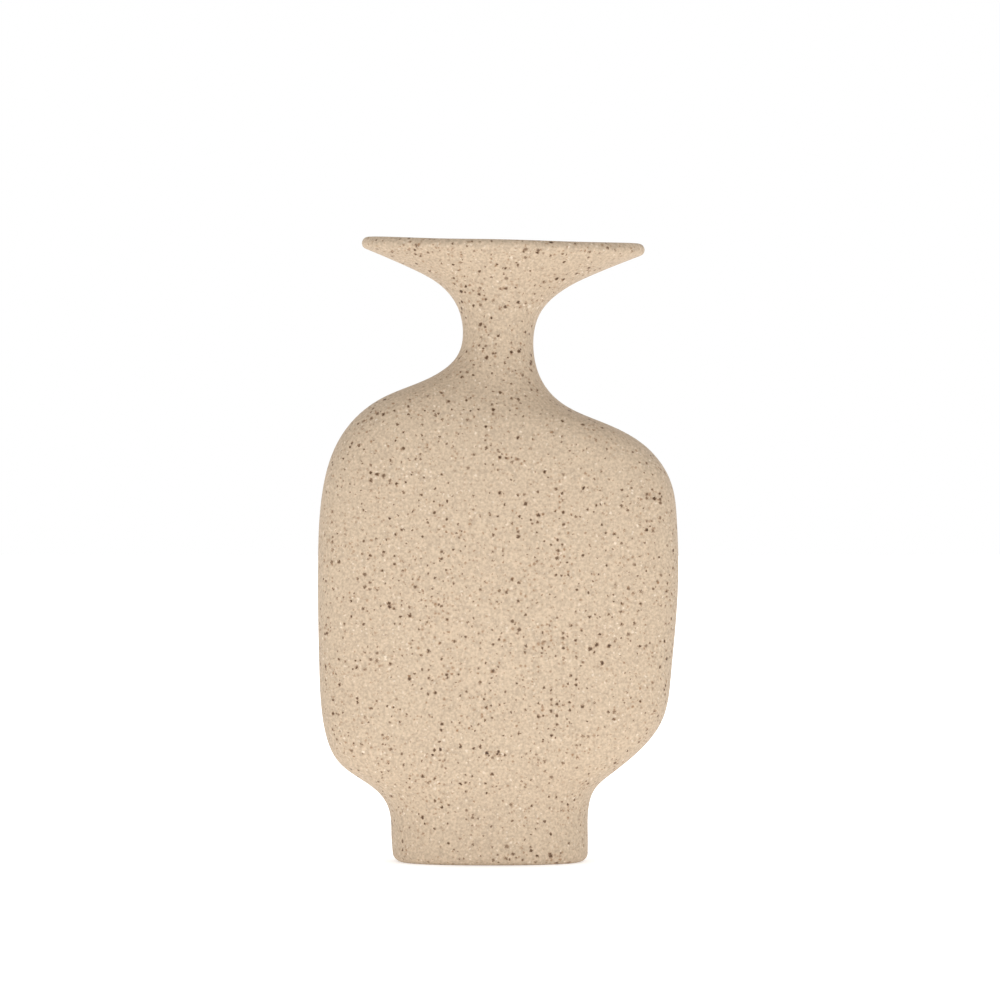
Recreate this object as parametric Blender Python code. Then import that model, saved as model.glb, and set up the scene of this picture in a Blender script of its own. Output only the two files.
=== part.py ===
"""Flattened flask vase in stoneware, hand-built from clay members luted edge to edge.

Units are metres, +Z is up and -Y is the front. The foot stands on z = 0.
Every member is cut from one lofted skin. A level joins a point of the left outline to a point of
the right outline, and a spline through the levels gives the section at any distance up the wall.
Left and right outlines differ on purpose, so most levels tilt a little.
"""
import bisect
import math
from collections import namedtuple

import bmesh
import bpy
import numpy as np
from mathutils import Vector

# Overall sizes
HEIGHT = 0.2955            # table to the plane of the lip, at its left end
BODY_WIDTH = 0.170
BODY_DEPTH = 0.071
BODY_WALL = 0.0055

# Foot
FOOT_WIDTH = 0.0918        # across the flank, extended down to the table
FOOT_DEPTH = 0.061
FOOT_HEIGHT = 0.024        # table to the joint with the shells
FOOT_WALL = 0.007
FOOT_SHIFT = -0.0035       # the foot stands left of the body's middle
FOOT_FLARE_LEFT = 0.0021   # how far each flank leans out over its height
FOOT_FLARE_RIGHT = 0.0004
FOOT_EDGE_ROUND = 0.004
LEDGE_WIDTH = 0.003
LEDGE_HEIGHT = 0.003
BASE_THICKNESS = 0.006
BASE_EDGE_CHAMFER = 0.001

# Neck and rim
NECK_WIDTH = 0.0334        # at the waist
NECK_DEPTH = 0.0328
NECK_SHIFT = 0.0001
WAIST_DROP = 0.0463        # lip to waist
RIM_WIDTH = 0.1343
RIM_DEPTH = 0.063
RIM_SHIFT = 0.0025
RIM_DIP = 0.0029           # the right end of the lip lies lower than the left
LIP_THICKNESS = 0.0058

# Joints between members
TONGUE = 0.0018            # height of the ridge that stands in its neighbour's groove
SLIP_GAP = 0.0003          # left between the faces of neighbouring members

# Roundness of the sections: 2 is an ellipse, and more is squarer
FOOT_SQUARENESS = 2.4
BODY_SQUARENESS = 4.3
NECK_SQUARENESS = 2.1
RIM_SQUARENESS = 2.0
LIP_SQUARENESS = 2.1       # of the edge of the lip

# Run of the wall between the named sizes. Each row: left share of the way out, left distance,
# right share of the way out, right distance, and share of the change in depth.
# Haunch: out from the foot's edge to the body's side, and up from the foot's top.
HAUNCH = (
    (0.12, 0.0075, 0.05, 0.0085, 0.10),
    (0.45, 0.0162, 0.28, 0.0183, 0.40),
    (0.76, 0.0256, 0.60, 0.0299, 0.70),
    (0.90, 0.0380, 0.80, 0.0410, 0.88),
    (0.98, 0.0660, 0.92, 0.0640, 0.97),
)
# Shoulder: out from the waist to the body's side, and down from the waist. The last row is the joint.
SHOULDER = (
    (0.987, 0.0857, 0.993, 0.0857, 0.985),
    (0.923, 0.0606, 0.935, 0.0643, 0.93),
    (0.812, 0.0452, 0.783, 0.0504, 0.83),
    (0.551, 0.0298, 0.466, 0.0384, 0.60),
    (0.218, 0.0201, 0.157, 0.0274, 0.30),
    (0.051, 0.0113, 0.034, 0.0151, 0.09),
)
# Rim: out from the waist to the tip of the lip, and down from the lip. The first row is the joint.
RIM = (
    (0.050, 0.0335, 0.068, 0.0326, 0.05),
    (0.214, 0.0232, 0.259, 0.0226, 0.25),
    (0.507, 0.0150, 0.553, 0.0146, 0.55),
    (0.958, 0.0057, 0.960, 0.0060, 0.95),
)
BELLY_SHARE = 0.49         # height of the widest level, as a share from the foot's top to the waist

# Fineness of the meshes
AROUND = 40                # columns around the vase, a multiple of four
ROWS_PER_SPAN = 2          # rows between two levels
ROUND_STEPS = 4            # facets over a rounded edge
STEP = 1e-4                # step used for slopes
SHARP_ANGLE = 35.0         # degrees between faces that meet at a sharp edge

# Finish of the clay: colour and roughness
FIRED_COLOUR, FIRED_ROUGHNESS = (0.69, 0.55, 0.40), 0.8
BARE_COLOUR, BARE_ROUGHNESS = (0.62, 0.47, 0.33), 0.85

# Depths in the wall, as shares of its thickness
SKIN, CORE, LINING = 0.0, 0.5, 1.0

Level = namedtuple("Level", "left_x left_z right_x right_z half_depth squareness wall")


def between(start, end, share):
    return start + (end - start) * share


def make_levels():
    """The levels from the table to the lip, with the places of the three ring joints."""
    side = BODY_WIDTH / 2
    foot = Level(
        FOOT_SHIFT - FOOT_WIDTH / 2, 0.0, FOOT_SHIFT + FOOT_WIDTH / 2, 0.0,
        FOOT_DEPTH / 2, FOOT_SQUARENESS, FOOT_WALL)
    foot_top = foot._replace(
        left_x=foot.left_x - FOOT_FLARE_LEFT, left_z=FOOT_HEIGHT,
        right_x=foot.right_x + FOOT_FLARE_RIGHT, right_z=FOOT_HEIGHT)
    lip_right = HEIGHT - RIM_DIP
    waist = Level(
        NECK_SHIFT - NECK_WIDTH / 2, HEIGHT - WAIST_DROP,
        NECK_SHIFT + NECK_WIDTH / 2, lip_right - WAIST_DROP,
        NECK_DEPTH / 2, NECK_SQUARENESS, BODY_WALL)
    lip = Level(
        RIM_SHIFT - RIM_WIDTH / 2, HEIGHT, RIM_SHIFT + RIM_WIDTH / 2, lip_right,
        RIM_DEPTH / 2, RIM_SQUARENESS, LIP_THICKNESS)
    belly = Level(
        -side, between(foot_top.left_z, waist.left_z, BELLY_SHARE),
        side, between(foot_top.right_z, waist.right_z, BELLY_SHARE),
        BODY_DEPTH / 2, BODY_SQUARENESS, BODY_WALL)

    def run(inner, outer, table, base, sign):
        """Levels between an inner and an outer one, at distances from the heights of a base."""
        return [
            Level(
                between(inner.left_x, outer.left_x, row[0]), base.left_z + sign * row[1],
                between(inner.right_x, outer.right_x, row[2]), base.right_z + sign * row[3],
                between(inner.half_depth, outer.half_depth, row[4]),
                between(inner.squareness, outer.squareness, row[4]),
                between(inner.wall, outer.wall, row[4]))
            for row in table]

    haunch = run(foot_top, belly, HAUNCH, foot_top, 1)
    shoulder = run(waist, belly, SHOULDER, waist, -1)
    rim = run(waist, lip, RIM, lip, -1)
    foot_middle = Level(*(between(low, high, 0.5) for low, high in zip(foot, foot_top)))
    levels = [foot, foot_middle, foot_top] + haunch + [belly] + shoulder + [waist] + rim
    joints = {
        "foot": levels.index(foot_top),
        "shoulder": levels.index(shoulder[-1]),
        "rim": levels.index(rim[0]),
    }
    return levels, joints


def run_lengths(rows):
    """Distance up the wall to each level, as the mean of the two outlines."""
    lengths = [0.0]
    for low, high in zip(rows, rows[1:]):
        left = math.hypot(high[0] - low[0], high[1] - low[1])
        right = math.hypot(high[2] - low[2], high[3] - low[3])
        lengths.append(lengths[-1] + (left + right) / 2)
    return lengths


def spline_bends(places, rows):
    """Second derivatives of the natural cubic spline through the rows."""
    gaps = np.diff(places)
    system = np.eye(len(places))
    target = np.zeros_like(rows)
    for i in range(1, len(places) - 1):
        system[i, i - 1:i + 2] = gaps[i - 1], 2 * (gaps[i - 1] + gaps[i]), gaps[i]
        target[i] = 6 * ((rows[i + 1] - rows[i]) / gaps[i] - (rows[i] - rows[i - 1]) / gaps[i - 1])
    return np.linalg.solve(system, target)


LEVELS, JOINTS = make_levels()
ROWS = np.array(LEVELS)
PLACES = run_lengths(LEVELS)
BENDS = spline_bends(PLACES, ROWS)


def section(place):
    """The level at a distance up the wall."""
    i = min(max(bisect.bisect(PLACES, place) - 1, 0), len(PLACES) - 2)
    gap = PLACES[i + 1] - PLACES[i]
    low = (PLACES[i + 1] - place) / gap
    high = 1 - low
    bend = (low ** 3 - low) * BENDS[i] + (high ** 3 - high) * BENDS[i + 1]
    values = low * ROWS[i] + high * ROWS[i + 1] + bend * gap ** 2 / 6
    return Level(*values.tolist())


def squared_circle(turn, squareness):
    """Point of a unit circle that is swollen towards the corners of its square."""
    across, deep = math.cos(turn), math.sin(turn)
    reach = (abs(across) ** squareness + abs(deep) ** squareness) ** (-1 / squareness)
    return across * reach, deep * reach


def skin_point(place, turn):
    """Point of the outer skin. A turn of 0 is the right edge and -90 degrees is the front."""
    level = section(place)
    across, deep = squared_circle(turn, level.squareness)
    share = (1 + across) / 2
    return Vector((
        between(level.left_x, level.right_x, share),
        level.half_depth * deep,
        between(level.left_z, level.right_z, share)))


def skin_slopes(place, turn):
    """Slope of the skin up the wall and its outward normal."""
    up = (skin_point(place + STEP, turn) - skin_point(place - STEP, turn)) / (2 * STEP)
    along = skin_point(place, turn + STEP) - skin_point(place, turn - STEP)
    return up, along.cross(up).normalized()


def wall_point(place, turn, depth):
    """Point inside the wall, at a depth under the skin."""
    return skin_point(place, turn) - depth * skin_slopes(place, turn)[1]


def shifted(place, turn, distance):
    """The place that lies a true distance further up the wall."""
    return place + distance / skin_slopes(place, turn)[0].length


def joint_shift(wall):
    """Shift along the wall that leaves the slip gap square to the flanks of a tongue."""
    return SLIP_GAP * math.hypot(1, TONGUE / (wall * CORE))


def all_turns():
    return [2 * math.pi * i / AROUND for i in range(AROUND)]


def joint_ring(name, side):
    """Outer, middle and inner loop of a joint face. Side is -1 on the lower member, 1 on the upper."""
    place = PLACES[JOINTS[name]]
    wall = section(place).wall
    shift = side * joint_shift(wall) / 2
    rings = []
    for share, rise in ((SKIN, 0.0), (CORE, TONGUE), (LINING, 0.0)):
        rings.append([
            wall_point(shifted(place, turn, shift + rise), turn, wall * share) for turn in all_turns()])
    return rings


def rows_between(first, last):
    """Places of the inner rows of the wall between two levels."""
    places = []
    for i in range(first, last):
        for step in range(ROWS_PER_SPAN):
            places.append(between(PLACES[i], PLACES[i + 1], step / ROWS_PER_SPAN))
    return places[1:]


def skin_ring(place, inner=False):
    depth = section(place).wall if inner else 0.0
    return [wall_point(place, turn, depth) for turn in all_turns()]


def clay(name, colour, roughness):
    material = bpy.data.materials.new(name)
    material.use_nodes = True
    shader = material.node_tree.nodes["Principled BSDF"]
    shader.inputs["Base Color"].default_value = (*colour, 1.0)
    shader.inputs["Roughness"].default_value = roughness
    shader.inputs["Metallic"].default_value = 0.0
    return material


def make_node(name, bm, seat, material, parent):
    """Turn a finished mesh into a named node whose origin is its seat."""
    bmesh.ops.translate(bm, verts=bm.verts, vec=-seat)
    bmesh.ops.recalc_face_normals(bm, faces=bm.faces)
    mesh = bpy.data.meshes.new(name)
    bm.to_mesh(mesh)
    bm.free()
    mesh.materials.append(material)
    mesh.shade_smooth()
    mesh.set_sharp_from_angle(angle=math.radians(SHARP_ANGLE))
    node = bpy.data.objects.new(name, mesh)
    node.location = seat
    node.parent = parent
    bpy.context.collection.objects.link(node)
    return node


def add_loops(bm, loops):
    return [[bm.verts.new(point) for point in loop] for loop in loops]


def bridge(bm, first, second):
    """Quads between two loops of the same count."""
    for i, corner in enumerate(first):
        j = (i + 1) % len(first)
        bm.faces.new((corner, first[j], second[j], second[i]))


def closed_tube(loops):
    """A ring-shaped body whose cross-section runs through the loops and back to the first."""
    bm = bmesh.new()
    rings = add_loops(bm, loops)
    for i, ring in enumerate(rings):
        bridge(bm, ring, rings[(i + 1) % len(rings)])
    return bm


def level_centre(place):
    level = section(place)
    return Vector(((level.left_x + level.right_x) / 2, 0.0, (level.left_z + level.right_z) / 2))


def foot_ring_at(height, inset):
    """Level loop inside the foot at a height, set in from the foot's skin."""
    place = PLACES[JOINTS["foot"]] * height / FOOT_HEIGHT
    loop = [wall_point(place, turn, inset) for turn in all_turns()]
    return [Vector((point.x, point.y, height)) for point in loop]


def foot_wall(material, parent):
    """Oval collar with a rounded outer edge, a flat underside and a ledge for the base."""
    outer, tongue, inner = joint_ring("foot", -1)
    loops = [inner, tongue, outer]
    loops.append(foot_ring_at(between(FOOT_EDGE_ROUND, FOOT_HEIGHT, 0.5), 0.0))
    for step in range(ROUND_STEPS + 1):
        angle = math.pi / 2 * step / ROUND_STEPS
        loops.append(foot_ring_at(
            FOOT_EDGE_ROUND * (1 - math.sin(angle)), FOOT_EDGE_ROUND * (1 - math.cos(angle))))
    loops.append(foot_ring_at(0.0, FOOT_WALL + LEDGE_WIDTH))
    loops.append(foot_ring_at(LEDGE_HEIGHT, FOOT_WALL + LEDGE_WIDTH))
    loops.append(foot_ring_at(LEDGE_HEIGHT, FOOT_WALL))
    loops.append(foot_ring_at(LEDGE_HEIGHT + SLIP_GAP + BASE_THICKNESS, FOOT_WALL))
    return make_node("foot_wall", closed_tube(loops), level_centre(0.0), material, parent)


def base_slab(material, parent):
    """Rolled slab that rests on the foot's ledge and closes the vase."""
    bottom = LEDGE_HEIGHT + SLIP_GAP
    top = bottom + BASE_THICKNESS
    edge = FOOT_WALL + SLIP_GAP
    bm = bmesh.new()
    rings = add_loops(bm, (
        foot_ring_at(bottom, edge),
        foot_ring_at(top - BASE_EDGE_CHAMFER, edge),
        foot_ring_at(top, edge + BASE_EDGE_CHAMFER)))
    for low, high in zip(rings, rings[1:]):
        bridge(bm, low, high)
    bm.faces.new(rings[0][::-1])
    bm.faces.new(rings[-1])
    seat = level_centre(0.0) + Vector((0.0, 0.0, bottom))
    return make_node("base_slab", bm, seat, material, parent)


def half_shell(name, side, material, parent):
    """Half of the body. Side is -1 for the front, which has the seam's tongue, and 1 for the back."""
    first, last = JOINTS["foot"], JOINTS["shoulder"]
    middle_rows = rows_between(first, last)
    places = [PLACES[first]] + middle_rows + [PLACES[last]]
    end = len(places) - 1
    half = AROUND // 2
    bm = bmesh.new()

    def corner(i, j, share):
        """Vertex at row i and column j, at a depth that is a share of the wall."""
        turn = side * math.pi * j / half
        wall = section(places[i]).wall
        place = places[i]
        if i in (0, end):
            rise = TONGUE if share == CORE else 0.0
            sign = 1 if i == 0 else -1
            place = shifted(place, turn, sign * joint_shift(wall) / 2 + rise)
        point = wall_point(place, turn, wall * share)
        if j in (0, half):
            rise = TONGUE if share == CORE else 0.0
            point.y = side * joint_shift(wall) / 2 + rise
        return bm.verts.new(point)

    rows, columns = range(end + 1), range(half + 1)
    skin = [[corner(i, j, SKIN) for j in columns] for i in rows]
    lining = [[corner(i, j, LINING) for j in columns] for i in rows]
    for grid in (skin, lining):
        for i in range(end):
            for j in range(half):
                bm.faces.new((grid[i][j], grid[i][j + 1], grid[i + 1][j + 1], grid[i + 1][j]))
    border = ([(0, j) for j in range(half)] + [(i, half) for i in range(end)]
              + [(end, j) for j in range(half, 0, -1)] + [(i, 0) for i in range(end, 0, -1)])
    joint = [corner(i, j, CORE) for i, j in border]
    bridge(bm, [skin[i][j] for i, j in border], joint)
    bridge(bm, joint, [lining[i][j] for i, j in border])
    return make_node(name, bm, level_centre(PLACES[first]), material, parent)


def neck_collar(material, parent):
    """Short waisted collar between the shoulders and the rim."""
    lower = joint_ring("shoulder", 1)
    upper = joint_ring("rim", -1)
    rows = rows_between(JOINTS["shoulder"], JOINTS["rim"])
    loops = lower[::-1]
    loops += [skin_ring(place) for place in rows]
    loops += upper
    loops += [skin_ring(place, inner=True) for place in rows[::-1]]
    seat = level_centre(PLACES[JOINTS["shoulder"]])
    return make_node("neck_collar", closed_tube(loops), seat, material, parent)


def lip_ring(angle):
    """Loop on the rounded lip: 0 is the underside, 90 degrees the tip and 180 the top side."""
    place = PLACES[-1]
    radius = section(place).wall / 2
    out, ahead = squared_circle(angle, LIP_SQUARENESS)
    loop = []
    for turn in all_turns():
        up, normal = skin_slopes(place, turn)
        centre = skin_point(place, turn) - normal * radius
        loop.append(centre + radius * (normal * out + up.normalized() * ahead))
    return loop


def flared_rim(material, parent):
    """Wide oval trumpet rim that dips to the right, with a rounded lip."""
    lower = joint_ring("rim", 1)
    rows = rows_between(JOINTS["rim"], len(PLACES) - 1)
    loops = lower[::-1]
    loops += [skin_ring(place) for place in rows]
    loops += [lip_ring(math.pi * step / (2 * ROUND_STEPS)) for step in range(2 * ROUND_STEPS + 1)]
    loops += [skin_ring(place, inner=True) for place in rows[::-1]]
    seat = level_centre(PLACES[JOINTS["rim"]])
    return make_node("flared_rim", closed_tube(loops), seat, material, parent)


def main():
    for old in list(bpy.data.objects):
        bpy.data.objects.remove(old, do_unlink=True)
    vase = bpy.data.objects.new("vase", None)
    bpy.context.collection.objects.link(vase)
    fired_clay = clay("speckled_stoneware", FIRED_COLOUR, FIRED_ROUGHNESS)
    bare_clay = clay("bare_stoneware", BARE_COLOUR, BARE_ROUGHNESS)
    foot_wall(fired_clay, vase)
    base_slab(bare_clay, vase)
    half_shell("front_shell", -1, fired_clay, vase)
    half_shell("back_shell", 1, fired_clay, vase)
    neck_collar(fired_clay, vase)
    flared_rim(fired_clay, vase)


main()
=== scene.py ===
"""Lopsided flask vase in speckled stoneware, hand-built from luted clay members and fired to one skin.

Laid out as an add-on and run as a script. Units are metres, +Z is up and -Y is the front.
"""
import bisect
import math
from collections import namedtuple

import bpy
import numpy as np
from bpy.props import (
    BoolProperty, FloatProperty, FloatVectorProperty, IntProperty, PointerProperty)
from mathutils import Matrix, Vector


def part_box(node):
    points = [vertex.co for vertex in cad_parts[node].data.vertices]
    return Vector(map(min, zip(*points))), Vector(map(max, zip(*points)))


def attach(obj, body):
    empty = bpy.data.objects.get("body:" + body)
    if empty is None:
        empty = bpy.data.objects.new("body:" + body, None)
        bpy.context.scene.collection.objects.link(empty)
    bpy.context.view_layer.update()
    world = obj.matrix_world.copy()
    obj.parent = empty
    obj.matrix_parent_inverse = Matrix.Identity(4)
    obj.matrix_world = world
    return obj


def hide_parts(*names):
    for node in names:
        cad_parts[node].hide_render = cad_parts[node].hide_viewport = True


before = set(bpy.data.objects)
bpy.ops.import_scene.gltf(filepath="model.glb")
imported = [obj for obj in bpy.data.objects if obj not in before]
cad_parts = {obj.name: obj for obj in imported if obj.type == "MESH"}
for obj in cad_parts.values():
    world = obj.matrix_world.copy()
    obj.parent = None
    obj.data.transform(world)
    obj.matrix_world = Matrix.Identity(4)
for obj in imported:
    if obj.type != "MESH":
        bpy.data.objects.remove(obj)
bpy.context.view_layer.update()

bl_info = {
    "name": "Lopsided Flask Vase",
    "version": (1, 0, 0),
    "blender": (4, 5, 0),
    "location": "3D View > Sidebar > Vase",
    "description": "Builds a hand-made stoneware flask vase with its finish and a small studio",
    "category": "Object",
}

MM = 0.001
BODY = "root"

# Finishes that a row of the wall can carry
OUTSIDE, INSIDE, UNDERSIDE = 0, 1, 2


def linear(hex_code):
    """Linear red, green and blue of an sRGB hex colour."""
    channels = [int(hex_code[i:i + 2], 16) / 255 for i in (1, 3, 5)]
    return tuple(c / 12.92 if c <= 0.04045 else ((c + 0.055) / 1.055) ** 2.4 for c in channels)


def between(start, end, share):
    return start + (end - start) * share


def length(name, description, default):
    """A size in metres for the panel."""
    return FloatProperty(
        name=name, description=description, default=default, min=0.0, unit="LENGTH", precision=5)


def colour(name, description, hex_code):
    """A colour for the panel, given as sRGB hex and kept linear."""
    return FloatVectorProperty(
        name=name, description=description, default=linear(hex_code), min=0.0, max=1.0, subtype="COLOR")


# ---------------- Sizes ----------------

BODY_LOW, BODY_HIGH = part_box("front_shell")
BODY_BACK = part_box("back_shell")[1]
SLAB_LOW, SLAB_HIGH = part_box("base_slab")


class VaseShape(bpy.types.PropertyGroup):
    """Sizes of the clay members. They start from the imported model."""

    height: length("Height", "Table to the plane of the lip at its left end", 295.5 * MM)
    body_width: length("Body Width", "Across the widest level", BODY_HIGH.x - BODY_LOW.x)
    body_depth: length("Body Depth", "Front face to back face", BODY_BACK.y - BODY_LOW.y)
    body_wall: length("Body Wall", "Thickness of shells and neck", 5.5 * MM)
    foot_width: length("Foot Width", "Across the foot's flank at the table", 91.8 * MM)
    foot_depth: length("Foot Depth", "Front to back of the foot", 61.0 * MM)
    foot_height: length("Foot Height", "Table to the joint with the shells", 24.0 * MM)
    foot_wall: length("Foot Wall", "Thickness of the foot", 7.0 * MM)
    foot_shift: FloatProperty(
        name="Foot Shift", description="Sideways place of the foot from the body's middle",
        default=-3.5 * MM, unit="LENGTH", precision=5)
    foot_flare_left: length("Left Flare", "Lean of the left flank of the foot", 2.1 * MM)
    foot_flare_right: length("Right Flare", "Lean of the right flank of the foot", 0.4 * MM)
    foot_edge: length("Foot Edge", "Rounding of the foot's outer edge", 4.0 * MM)
    ledge_width: length("Ledge Width", "Seat of the base inside the foot", 3.0 * MM)
    base_low: length("Base Underside", "Table to the underside of the base", SLAB_LOW.z)
    base_high: length("Base Top", "Table to the top of the base", SLAB_HIGH.z)
    slip_gap: length("Slip Gap", "Room round the base for slip", 0.3 * MM)
    neck_width: length("Neck Width", "Across the waist", 33.4 * MM)
    neck_depth: length("Neck Depth", "Front to back of the waist", 32.8 * MM)
    neck_shift: length("Neck Shift", "Sideways place of the waist", 0.1 * MM)
    waist_drop: length("Waist Drop", "Lip to waist", 46.3 * MM)
    rim_width: length("Rim Width", "Across the lip", 134.3 * MM)
    rim_depth: length("Rim Depth", "Front to back of the lip", 63.0 * MM)
    rim_shift: length("Rim Shift", "Sideways place of the lip", 2.5 * MM)
    rim_dip: length("Rim Dip", "How far the right end of the lip lies below the left", 2.9 * MM)
    lip: length("Lip", "Thickness of the lip", 5.8 * MM)
    tongue: length("Tongue", "Height of the ridge in each joint", 1.8 * MM)
    row_step: length("Row Step", "Distance between rows of the skin", 1.1 * MM)
    columns: IntProperty(
        name="Columns", description="Columns round the vase, an even number", default=288, min=32)
    wave_height: length("Wave Height", "Unevenness left by the hand", 0.35 * MM)
    wave_size: length("Wave Size", "Distance over which the unevenness changes", 45.0 * MM)


# Roundness of the sections: 2 is an ellipse, and more is squarer
FOOT_SQUARENESS = 2.4
BODY_SQUARENESS = 4.3
NECK_SQUARENESS = 2.1
RIM_SQUARENESS = 2.0
LIP_SQUARENESS = 2.1

BELLY_SHARE = 0.49             # height of the widest level between the foot's top and the waist
LIP_STEPS = 24                 # rows round the lip
ARC_STEPS = 8                  # rows round each soft edge of the foot and the base
LEDGE_EDGE = 0.8 * MM          # rounding of the ledge and of the foot's inner edge
LEDGE_FILLET = 0.3 * MM        # rounding where the ledge meets the foot's wall
BASE_LOW_EDGE = 0.5 * MM       # rounding of the base's lower edge
BASE_HIGH_EDGE = 1.0 * MM      # rounding of the base's upper edge
GLAZE_LINE = 2.5 * MM          # how far up the base's side the bare clay reaches
BARE_SHARE = 0.7               # share of the foot's outer rounding that keeps its glaze
STEADY_SHARE = 0.5             # share of the foot over which the hand's unevenness fades in
WELD_DISTANCE = 0.002 * MM
SHARP_ANGLE = math.radians(50)
HAND_SEED = 7.0

# Run of the wall between the named sizes. Each row: left share of the way out, left distance,
# right share of the way out, right distance, and share of the change in depth.
# Haunch: out from the foot's edge to the body's side, and up from the foot's top.
HAUNCH = (
    (0.12, 0.0075, 0.05, 0.0085, 0.10),
    (0.45, 0.0162, 0.28, 0.0183, 0.40),
    (0.76, 0.0256, 0.60, 0.0299, 0.70),
    (0.90, 0.0380, 0.80, 0.0410, 0.88),
    (0.98, 0.0660, 0.92, 0.0640, 0.97),
)
# Shoulder: out from the waist to the body's side, and down from the waist. The last row is the joint.
SHOULDER = (
    (0.987, 0.0857, 0.993, 0.0857, 0.985),
    (0.923, 0.0606, 0.935, 0.0643, 0.93),
    (0.812, 0.0452, 0.783, 0.0504, 0.83),
    (0.551, 0.0298, 0.466, 0.0384, 0.60),
    (0.218, 0.0201, 0.157, 0.0274, 0.30),
    (0.051, 0.0113, 0.034, 0.0151, 0.09),
)
# Rim: out from the waist to the tip of the lip, and down from the lip. The first row is the joint.
RIM = (
    (0.050, 0.0335, 0.068, 0.0326, 0.05),
    (0.214, 0.0232, 0.259, 0.0226, 0.25),
    (0.507, 0.0150, 0.553, 0.0146, 0.55),
    (0.958, 0.0057, 0.960, 0.0060, 0.95),
)

Level = namedtuple("Level", "left_x left_z right_x right_z half_depth squareness wall")


class Skin:
    """The outer skin as a spline through levels that each join a left point to a right point."""

    def __init__(self, shape):
        self.levels, self.joints = self.make_levels(shape)
        self.rows = np.array(self.levels)
        self.places = [0.0]
        for low, high in zip(self.levels, self.levels[1:]):
            left = math.hypot(high.left_x - low.left_x, high.left_z - low.left_z)
            right = math.hypot(high.right_x - low.right_x, high.right_z - low.right_z)
            self.places.append(self.places[-1] + (left + right) / 2)
        self.bends = self.spline_bends()

    @staticmethod
    def make_levels(shape):
        """The levels from the table to the lip, with the places of the three ring joints."""
        side = shape.body_width / 2
        foot = Level(
            shape.foot_shift - shape.foot_width / 2, 0.0, shape.foot_shift + shape.foot_width / 2, 0.0,
            shape.foot_depth / 2, FOOT_SQUARENESS, shape.foot_wall)
        foot_top = foot._replace(
            left_x=foot.left_x - shape.foot_flare_left, left_z=shape.foot_height,
            right_x=foot.right_x + shape.foot_flare_right, right_z=shape.foot_height)
        lip_right = shape.height - shape.rim_dip
        waist = Level(
            shape.neck_shift - shape.neck_width / 2, shape.height - shape.waist_drop,
            shape.neck_shift + shape.neck_width / 2, lip_right - shape.waist_drop,
            shape.neck_depth / 2, NECK_SQUARENESS, shape.body_wall)
        lip = Level(
            shape.rim_shift - shape.rim_width / 2, shape.height,
            shape.rim_shift + shape.rim_width / 2, lip_right,
            shape.rim_depth / 2, RIM_SQUARENESS, shape.lip)
        belly = Level(
            -side, between(foot_top.left_z, waist.left_z, BELLY_SHARE),
            side, between(foot_top.right_z, waist.right_z, BELLY_SHARE),
            shape.body_depth / 2, BODY_SQUARENESS, shape.body_wall)

        def run(inner, outer, table, base, sign):
            """Levels between an inner and an outer one, at distances from the heights of a base."""
            return [
                Level(
                    between(inner.left_x, outer.left_x, row[0]), base.left_z + sign * row[1],
                    between(inner.right_x, outer.right_x, row[2]), base.right_z + sign * row[3],
                    between(inner.half_depth, outer.half_depth, row[4]),
                    between(inner.squareness, outer.squareness, row[4]),
                    between(inner.wall, outer.wall, row[4]))
                for row in table]

        haunch = run(foot_top, belly, HAUNCH, foot_top, 1)
        shoulder = run(waist, belly, SHOULDER, waist, -1)
        rim = run(waist, lip, RIM, lip, -1)
        foot_middle = Level(*(between(low, high, 0.5) for low, high in zip(foot, foot_top)))
        levels = [foot, foot_middle, foot_top] + haunch + [belly] + shoulder + [waist] + rim
        joints = {
            "foot": levels.index(foot_top),
            "shoulder": levels.index(shoulder[-1]),
            "rim": levels.index(rim[0]),
            "lip": len(levels) - 1,
        }
        return levels, joints

    def spline_bends(self):
        """Second derivatives of the natural cubic spline through the levels."""
        gaps = np.diff(self.places)
        system = np.eye(len(self.places))
        target = np.zeros_like(self.rows)
        for i in range(1, len(gaps)):
            system[i, i - 1:i + 2] = gaps[i - 1], 2 * (gaps[i - 1] + gaps[i]), gaps[i]
            target[i] = 6 * (
                (self.rows[i + 1] - self.rows[i]) / gaps[i] - (self.rows[i] - self.rows[i - 1]) / gaps[i - 1])
        return np.linalg.solve(system, target)

    def place_of(self, joint):
        return self.places[self.joints[joint]]

    def section(self, place):
        """The level at a distance up the wall, and its rise per metre."""
        i = min(max(bisect.bisect(self.places, place) - 1, 0), len(self.places) - 2)
        gap = self.places[i + 1] - self.places[i]
        low = (self.places[i + 1] - place) / gap
        high = 1 - low
        bend = (low ** 3 - low) * self.bends[i] + (high ** 3 - high) * self.bends[i + 1]
        turn = (1 - 3 * low ** 2) * self.bends[i] + (3 * high ** 2 - 1) * self.bends[i + 1]
        level = low * self.rows[i] + high * self.rows[i + 1] + bend * gap ** 2 / 6
        rise = (self.rows[i + 1] - self.rows[i]) / gap + turn * gap / 6
        return Level(*level.tolist()), Level(*rise.tolist())

    def spread(self, first, last, step):
        """Even places strictly between two joints, about a step apart."""
        start, end = self.place_of(first), self.place_of(last)
        count = max(2, round((end - start) / step))
        return [between(start, end, i / count) for i in range(1, count)]


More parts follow.
